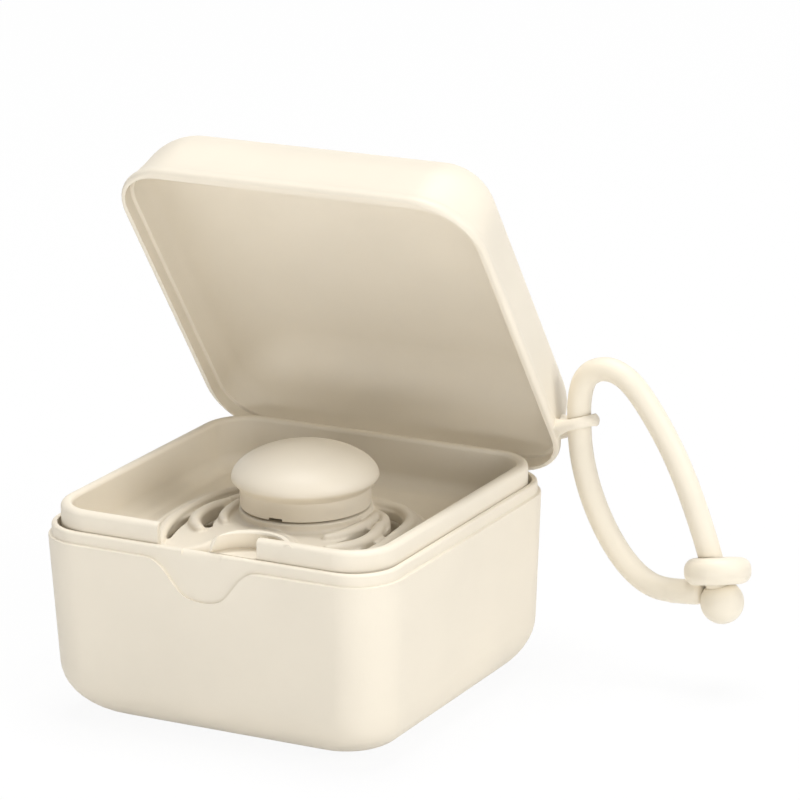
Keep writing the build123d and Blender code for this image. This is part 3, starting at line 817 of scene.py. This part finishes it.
def finger_scoop():
    """The ledge and the thin curved wall behind it, which falls away at its left end."""
    x, rim, half_y = in_mm("tray", "scoop_x rim half_y")
    ledge = upper_rim()
    foot = ledge - 1.5
    axis_y = -40.6
    floor = loft("ledge", [(10.6, foot), (10.6, ledge)], 96)
    wall = loft("scoop_wall", [(10.1, foot), (10.1, ledge), (8.4, rim - 0.5),
                               (8.6, rim - 0.12), (9.05, rim), (9.5, rim - 0.12),
                               (9.75, rim - 0.5), (11.6, ledge), (11.6, foot)], 96, True)
    for item in (floor, wall):
        shift(item, x, axis_y)
    edge = smooth_line([(x - 9.7, ledge - 2), (x - 9.6, ledge), (x - 9.3, ledge + 1.8),
                        (x - 8.2, ledge + 3.4), (x - 6.0, rim - 0.1), (x - 3.5, rim + 0.1),
                        (x - 2.0, rim + 1)])
    fall = [(x - 14, rim + 1), (x - 14, ledge - 2), *edge]
    carve(wall, outline_prism("fall", fall, -half_y - 3, -half_y + 6))
    carve(floor, wall, "UNION")
    left = x - 11.7
    right = x + 11.6
    ledge_end = x + 0.9
    keep = [(left, -half_y - 0.1), (ledge_end, -half_y - 0.1), (ledge_end, -half_y + 0.05),
            (right, -half_y + 0.05), (right, 0), (left, 0)]
    carve(floor, outline_prism("keep", keep, ledge - 3, rim + PAST, "XY"), "INTERSECT")
    return floor


class CASE_OT_lid(Operator):
    """Domed lid, standing open, with its hinge knuckles and the ear for the strap"""
    bl_idname = "case.lid"
    bl_label = "Lid"

    def execute(self, context):
        half_x, half_y, height, corner, edge, lip = in_mm(
            "lid", "half_x half_y height corner edge lip")
        outside = rounded_wall(half_x, half_y, corner, LID_TIGHTEN, height, LID_DRAFT, edge, 14)
        bead = inset_rings(half_x, half_y, corner, lip, LIP_BEAD)
        lid = loft("lid_shell", stacked(outside, lip, 1)[:0:-1] + bead, 12)
        split_sides(lid, longest=30, cuts=9)
        carve(lid, strap_ear(), "UNION")
        carve(lid, lid_hollow())
        add_lid_hinges(lid)
        soften(lid, width=0.25, segments=2, angle=50)
        move(lid, opening())
        place(lid, "lid", "lid_shell", shell_plastic(), "lid")
        return {"FINISHED"}


def lid_hollow():
    """What the lid is hollowed with: the step over the upper rim, and the vault above it."""
    half_x, half_y, height, corner, edge, wall, lip = in_mm(
        "lid", "half_x half_y height corner edge wall lip")
    step = [(half_x - in_x, half_y - in_y, corner - tighter, lip + rise)
            for in_x, in_y, tighter, rise in LIP_STEP]
    vault = rounded_wall(half_x - wall, half_y - wall, corner - wall, LID_TIGHTEN, height - wall,
                         LID_DRAFT, edge - wall, 12)
    vault = stacked(vault, lip, 1)
    vault_start = 6.4
    drawn_in = 1.41
    vault[0] = (*(size - drawn_in for size in vault[0][:3]), lip + vault_start)
    return loft("hollow", step + vault, 12)


def opening():
    """How the lid turns from closed to where it stands."""
    sizes = settings("lid")
    axis = Matrix.Translation((0, sizes.hinge_y, sizes.hinge_z))
    return axis @ Matrix.Rotation(-sizes.opened, 4, "X") @ axis.inverted()


def ear_hole():
    """Middle of the ear's hole, as the lid stands."""
    strap = settings("strap")
    return Vector((strap.ear_x, strap.ear_y, strap.ear_z))


def strap_ear():
    """The ear that the strap runs through, made as it stands and closed with the lid."""
    sizes = settings("ear")
    ear = ear_blank()
    carve(ear, ear_bore())
    fuse(ear, voxel=0.0002, rounds=4)
    along = Vector((cos(sizes.rise), sin(sizes.rise) * sin(sizes.lean),
                    sin(sizes.rise) * cos(sizes.lean)))
    up = Vector((-sin(sizes.rise), cos(sizes.rise) * sin(sizes.lean),
                 cos(sizes.rise) * cos(sizes.lean)))
    move(ear, opening().inverted() @ standing(along, up, ear_hole()))
    trim_lip(ear)
    return ear


def trim_lip(ear):
    """Cuts away what of the closed ear would hang under the lip."""
    top = settings("lid").lip / MM + 0.25
    foot = top - 9
    front = 20
    back = 40
    below = [(front, foot), (back, foot), (back, top), (front, top)]
    carve(ear, outline_prism("below_lip", below, 30, 60, "YZ"))


def ear_blank():
    """The ear without its hole, lying flat, its round end to the right and its root flared."""
    radius, thickness, root = in_mm("ear", "radius thickness root")
    edge = 0.9
    corner_most = 1.8
    tip_half = 0.05
    rings = [(radius + wider, thickness / 2 + thicker, corner, out)
             for wider, thicker, corner, out in [(0.6, 1.1, 1.9, -root), *EAR_ROOT]]
    for s, c in quarter(15)[:-1]:
        rings.append((radius * c + tip_half, thickness / 2 - edge * (1 - c ** 0.5),
                      min(corner_most, radius * c), radius * s))
    ear = loft("ear", rings, 5)
    move(ear, Matrix(((0, 0, 1, 0), (1, 0, 0, 0), (0, 1, 0, EAR_LIFT * MM), (0, 0, 0, 1))))
    return ear


def ear_bore():
    """What the ear is bored with, flared to both sides so that the strap can swing."""
    hole = settings("ear").hole / MM
    wider = 0.95
    straight = 0.5
    flare_height = 1.15
    flare = [(hole + wider - wider * c, straight + flare_height * s) for s, c in quarter(6)]
    bore = [(r, -z) for r, z in flare[::-1]] + flare
    end = 5
    cutter = loft("ear_bore", [(hole + wider, -end), *bore, (hole + wider, end)], 64)
    shift(cutter, z=EAR_LIFT)
    return cutter


def add_lid_hinges(lid):
    """One knuckle for each hinge, on a web from the back of the lip."""
    barrel, knuckle, pin, rise = in_mm("hinge", "barrel knuckle pin web_rise")
    y, z, lip, half_y, wall = in_mm("lid", "hinge_y hinge_z lip half_y wall")
    inner = half_y - wall / 2
    running_clear = 0.08
    web = [(inner, lip), (inner, lip + rise), (y, z + barrel), (y, lip)]
    for middle in hinge_middles():
        start = middle - knuckle / 2
        add_knuckle(lid, web, start)
        carve(lid, bar(start - PAST, start + knuckle + PAST, y, z, pin + running_clear))


class CASE_OT_shield(Operator):
    """Shield of the pacifier: a curved openwork plate with raised rims and a boss"""
    bl_idname = "case.shield"
    bl_label = "Shield"

    def execute(self, context):
        x, half_width, crown, thick = in_mm("pacifier", "x half_width crown thick")
        outline = [(0, -15.6), (3.6, -15.8), (8.0, -19.4), (9.4, -26.6), (14.6, -30.3),
                   (21.0, -28.4), (27.2, -18), (half_width + 0.3, -9.0), (half_width + 0.2, -1.0),
                   (25.5, 6.0), (20, 10.5), (11, 14.5), (0, 15.6)]
        right = smooth_line(outline)
        left = [(-u, v) for u, v in right[-2:0:-1]]
        plate = outline_prism("pacifier_shield_plate", right + left, crown - thick, crown, "XY")
        cut_vents(plate)
        ridges = shield_ridges()
        join(plate, [rim_tube(outline, crown - 0.8), shield_boss(), *ridges])
        fuse(plate, voxel=0.00024, rounds=3)
        bend(plate)
        bore_boss(plate)
        shift(plate, x)
        bpy.ops.object.shade_smooth_by_angle(angle=radians(45))
        place(plate, "pacifier", "pacifier_plastic", pacifier_plastic(), "pacifier_shield")
        return {"FINISHED"}


def cut_vents(plate):
    """Opens the vents of both halves."""
    crown = settings("pacifier").crown / MM
    cutter_tall = 6.0
    for vent in SHIELD_VENTS:
        for side in (-1, 1):
            cutter = run_along(vent, side, crown, cutter_tall)
            apply(cutter, "REMESH", mode="VOXEL", voxel_size=0.0003)
            carve(plate, cutter)


def shield_ridges():
    """The rolled ridges of both halves, a little flattened."""
    height = settings("pacifier").crown / MM + 0.3
    flattened = 0.9
    return [run_along(ridge, side, height, flattened)
            for ridge in SHIELD_RIDGES for side in (-1, 1)]


def shield_boss():
    """The round boss under the knob, flared where it grows out of the plate."""
    crown, thick, hub, radius = in_mm("pacifier", "crown thick hub_top hub_radius")
    rings = [(radius + 0.9, crown - thick), (radius + 0.9, crown - 0.3), (radius + 0.5, crown),
             (radius + 0.1, crown + 0.25), (radius, crown + 0.5), (radius, hub - 0.1),
             (radius - 0.1, hub)]
    return loft("boss", rings, 96)


def bore_boss(plate):
    """The hole through the boss and the wider seat in its top."""
    crown, hub = in_mm("pacifier", "crown hub_top")
    hole = 6.0
    seat = 9.0
    for radius, low in ((hole, crown - 6), (seat, hub - 1.6)):
        carve(plate, loft("bore", [(radius, low), (radius, hub + PAST)], 64))


def rim_tube(outline, height):
    """The rolled edge that runs round the shield, a little inside its outline."""
    share = 0.955
    inset = [(u * share + (0 if u < 1 else 0.1), v * share + (0.2 if v < 0 else -0.1))
             for u, v in outline]
    points = inset + [(-u, v) for u, v in inset[-2:0:-1]]
    item = rod("rim", [(u * MM, v * MM, height * MM) for u, v in points], 0.0015, 4, cyclic=True)
    only(item)
    bpy.ops.object.convert(target="MESH")
    return item


def run_along(run, side, height, tall):
    """A round rod with rounded ends along a path, made taller or flatter: a ridge or a cutter."""
    item = rod("run", [(side * u * MM, v * MM, 0) for u, v, width in run], MM, 5)
    for point, (u, v, width) in zip(item.data.splines[0].points, run):
        point.radius = width / 2
    only(item)
    bpy.ops.object.convert(target="MESH")
    ends = []
    for u, v, width in (run[0], run[-1]):
        deselect()
        bpy.ops.mesh.primitive_uv_sphere_add(segments=24, ring_count=12, radius=width / 2 * MM,
                                             location=(side * u * MM, v * MM, 0))
        ends.append(bpy.context.object)
        settle(ends[-1])
    join(item, ends)
    bpy.ops.transform.resize(value=(1, 1, tall), center_override=(0, 0, 0))
    settle(item)
    shift(item, z=height)
    return item


def bend(plate):
    """Curves the flat plate down over a large ball, its boss left upright."""
    curve = settings("pacifier").curve
    for vert in plate.data.vertices:
        reach = vert.co.x ** 2 + vert.co.y ** 2
        vert.co.z -= curve - sqrt(curve ** 2 - reach)


class CASE_OT_knob(Operator):
    """Knob of the pacifier: a dome with a rounded lip on a round stem"""
    bl_idname = "case.knob"
    bl_label = "Knob"

    def execute(self, context):
        x, radius, top, stem, hub = in_mm("pacifier", "x knob_radius knob_top stem_radius hub_top")
        wide = KNOB_WIDEST
        inner = stem - 1.8
        bore = 4.0
        rings = [(bore, 40.3), (bore, 49.3), (inner, wide - 0.8), (inner, hub + 0.15),
                 (stem - 0.1, hub + 0.1), (stem, hub + 0.25),
                 *((stem + out, height) for out, height in KNOB_UNDERSIDE), (radius, wide)]
        steps = 23
        fullness = 1.85
        for i in range(1, steps):
            share = sin(i / steps * pi / 2)
            out = (1 - share ** fullness) ** (1 / fullness)
            rings.append((radius * out, wide + (top - wide) * share))
        rings.append((0.15, top))
        knob = loft("knob", rings, 96)
        cut_slot(knob, stem, hub + 0.3)
        shift(knob, x)
        soften(knob, width=0.1, segments=1, angle=60)
        place(knob, "pacifier", "pacifier_plastic", pacifier_plastic(), "pacifier_knob")
        return {"FINISHED"}


def cut_slot(knob, out, height):
    """The small slot low in the stem, at the front."""
    deselect()
    bpy.ops.mesh.primitive_cube_add(size=MM, scale=(4, 3, 0.6),
                                    location=(out * MM, 0, height * MM))
    slot = bpy.context.object
    settle(slot)
    to_front = radians(272)
    bpy.ops.transform.rotate(value=-to_front, orient_axis="Z", center_override=(0, 0, 0))
    settle(slot)
    carve(knob, slot)


class CASE_OT_strap(Operator):
    """Strap: a moulded silicone cord, the eye it comes back through and its ball"""
    bl_idname = "case.strap"
    bl_label = "Strap"

    def execute(self, context):
        sizes = settings("strap")
        run = [(sizes.ear_x + reach, sizes.ear_y, sizes.ear_z + rise) for reach, rise in STRAP_RUN]
        strap = rod("strap_cord_run", run, sizes.diameter / 2, 8, resolution=12)
        place(strap, "strap", "strap_silicone", strap_silicone(), "strap_cord")
        eye = strap_eye()
        place(eye, "strap", "strap_silicone", strap_silicone(), "strap_eye")
        dress(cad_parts["strap_ball"], strap_silicone())
        return {"FINISHED"}


def along_strap(number):
    """A point of the strap's run, from the middle of the ear's hole."""
    reach, rise = STRAP_RUN[number]
    return Vector((reach, 0, rise))


def strap_eye():
    """The soft bead that the strap comes back through, grown onto the strap's other end."""
    eye = eye_bead()
    carve(eye, eye_socket(), "UNION")
    fuse(eye, voxel=0.00022, rounds=12)
    clear_strap(eye)
    only(eye)
    bpy.ops.object.shade_smooth_by_angle(angle=radians(45))
    return eye


def eye_bead():
    """The eye as a flat bead with a round side, leaning as it hangs."""
    radius = 6.9
    half = 2.75
    soft = 2.35
    lean = radians(8.9)
    tilt = radians(14.6)
    side = [(radius - soft + soft * c, half - soft + soft * s) for s, c in quarter(8)]
    bead = loft("strap_eye_bead", [(r, -z) for r, z in side[::-1]] + side, 64)
    along = Vector((cos(lean), 0, sin(lean)))
    up = Vector((-sin(lean) * cos(tilt), sin(tilt), cos(lean) * cos(tilt)))
    move(bead, standing(along, up, ear_hole() + Vector(EYE_PLACE)))
    return bead


def eye_socket():
    """The neck between the eye and the strap's end, in line with that end."""
    (reach, rise), (next_reach, next_rise) = STRAP_RUN[:2]
    toward = Vector((reach - next_reach, 0, rise - next_rise))
    socket = loft("socket", EYE_SOCKET, 48)
    move(socket, facing(toward, ear_hole() + along_strap(0)))
    return socket


def clear_strap(eye):
    """Bores the eye for the strap and presses the ball's pocket into it."""
    end = ear_hole() + along_strap(-1)
    down = end - (ear_hole() + along_strap(-2))
    bore_radius = 2.75
    bore = loft("bore", [(bore_radius, -30), (bore_radius, 0)], 48)
    move(bore, facing(down, end))
    carve(eye, bore)
    past_end = 0.0035
    pocket_radius = 0.00453
    deselect()
    bpy.ops.mesh.primitive_uv_sphere_add(segments=48, ring_count=24, radius=pocket_radius,
                                         location=end + down.normalized() * past_end)
    pocket = bpy.context.object
    settle(pocket)
    carve(eye, pocket)


class CASE_OT_nodes(Operator):
    """Finishes for the parts that stay as they were packed"""
    bl_idname = "case.packed_parts"
    bl_label = "Packed parts"

    def execute(self, context):
        dress(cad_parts["pacifier_plug"], pacifier_plastic())
        dress(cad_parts["pacifier_teat"], natural_rubber())
        for name in ("hinge_pin_left", "hinge_pin_right"):
            dress(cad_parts[name], pin_steel())
        return {"FINISHED"}


class CASE_OT_stage(Operator):
    """Studio: pale floor, soft lamps, white surroundings and the camera"""
    bl_idname = "case.stage"
    bl_label = "Studio"

    def execute(self, context):
        add_floor()
        for name in LAMPS:
            add_lamp(name)
        context.scene.camera = add_camera()
        context.scene.view_settings.view_transform = "Standard"
        surroundings(settings("studio").ambient)
        return {"FINISHED"}


def add_floor():
    """A wide sheet of paper a hair under the foot."""
    deselect()
    bpy.ops.mesh.primitive_plane_add(size=6, location=(0, 0, -0.0002))
    floor = bpy.context.object
    floor.name = "studio_floor"
    dress(floor, floor_paper())


def add_lamp(name):
    """A soft rectangular lamp that faces its aim."""
    location, aim, width, tall = LAMPS[name]
    turn = (Vector(location) - Vector(aim)).to_track_quat("Z", "Y").to_euler()
    bpy.ops.object.light_add(type="AREA", location=location, rotation=turn)
    lamp = bpy.context.object
    lamp.name = "studio_" + name
    lamp.data.shape = "RECTANGLE"
    lamp.data.size = width
    lamp.data.size_y = tall
    lamp.data.energy = getattr(settings("studio"), name + "_power")


def add_camera():
    """The camera, with a long lens, turned round, down and about its view."""
    studio = settings("studio")
    turn = (Matrix.Rotation(studio.yaw, 3, "Z") @ Matrix.Rotation(pi / 2 - studio.pitch, 3, "X")
            @ Matrix.Rotation(studio.roll, 3, "Z"))
    bpy.ops.object.camera_add(location=CAMERA_PLACE, rotation=turn.to_euler())
    camera = bpy.context.object
    camera.name = "studio_camera"
    camera.data.lens = studio.lens
    camera.data.sensor_width = 36
    camera.data.clip_start = 0.01
    return camera


def seen_white(tree):
    """1 where a ray from the camera, or one reflected or let through, meets the background."""
    path = add_node(tree, "LightPath")
    total = path.outputs["Is Camera Ray"]
    for kind in ("Is Glossy Ray", "Is Transmission Ray"):
        either = add_node(tree, "Math")
        either.operation = "MAXIMUM"
        tree.links.new(total, either.inputs[0])
        tree.links.new(path.outputs[kind], either.inputs[1])
        total = either.outputs[0]
    return total


def mix_shaders(tree, share, first, second, output):
    """Shows the second shader by its share, and the first where that is 0."""
    mix = add_node(tree, "MixShader")
    tree.links.new(share, mix.inputs["Fac"])
    tree.links.new(first.outputs[0], mix.inputs[1])
    tree.links.new(second.outputs[0], mix.inputs[2])
    tree.links.new(mix.outputs[0], tree.nodes[output].inputs["Surface"])


def surroundings(strength):
    """White surroundings that light the case softly and are seen at full white."""
    world = bpy.data.worlds.new("studio_white")
    bpy.context.scene.world = world
    world.use_nodes = True
    tree = world.node_tree
    light = tree.nodes["Background"]
    light.inputs["Color"].default_value = WHITE
    light.inputs["Strength"].default_value = strength
    seen = add_node(tree, "Background", {"Color": WHITE, "Strength": 1.0})
    mix_shaders(tree, seen_white(tree), light, seen, "World Output")


def floor_paper():
    """White paper, seen nearly as bright as the background, that still takes the shadow."""
    material = bpy.data.materials.new("studio_paper")
    material.use_nodes = True
    tree = material.node_tree
    paper = tree.nodes["Principled BSDF"]
    paper.inputs["Base Color"].default_value = (0.86, 0.86, 0.86, 1)
    paper.inputs["Roughness"].default_value = 0.9
    glow = add_node(tree, "Emission", {"Color": WHITE, "Strength": 1.0})
    share = add_node(tree, "Math")
    share.operation = "MULTIPLY"
    share.inputs[1].default_value = 0.93
    tree.links.new(seen_white(tree), share.inputs[0])
    mix_shaders(tree, share.outputs[0], paper, glow, "Material Output")
    return material


class CASE_PT_panel(Panel):
    """The case's pieces, sizes and finishes"""
    bl_idname = "CASE_PT_panel"
    bl_label = "Sterilizer Case"
    bl_space_type = "VIEW_3D"
    bl_region_type = "UI"
    bl_category = "Sterilizer Case"

    def draw(self, context):
        for name, group in GROUPS.items():
            box = self.layout.box()
            box.label(text=name.capitalize())
            for prop in group.__annotations__:
                box.prop(settings(name), prop)
        for operator in OPERATORS:
            self.layout.operator(operator.bl_idname)


OPERATORS = (CASE_OT_base, CASE_OT_tray, CASE_OT_lid, CASE_OT_shield, CASE_OT_knob, CASE_OT_strap,
             CASE_OT_nodes, CASE_OT_stage)
CLASSES = (*GROUPS.values(), *OPERATORS, CASE_PT_panel)


def register():
    for item in CLASSES:
        bpy.utils.register_class(item)
    for name, group in GROUPS.items():
        setattr(Scene, "case_" + name, PointerProperty(type=group))


def unregister():
    for name in GROUPS:
        delattr(Scene, "case_" + name)
    for item in reversed(CLASSES):
        bpy.utils.unregister_class(item)


def main():
    register()
    bpy.ops.case.base()
    bpy.ops.case.tray()
    bpy.ops.case.lid()
    bpy.ops.case.shield()
    bpy.ops.case.knob()
    bpy.ops.case.strap()
    bpy.ops.case.packed_parts()
    bpy.ops.case.stage()


if __name__ == "__main__":
    main()
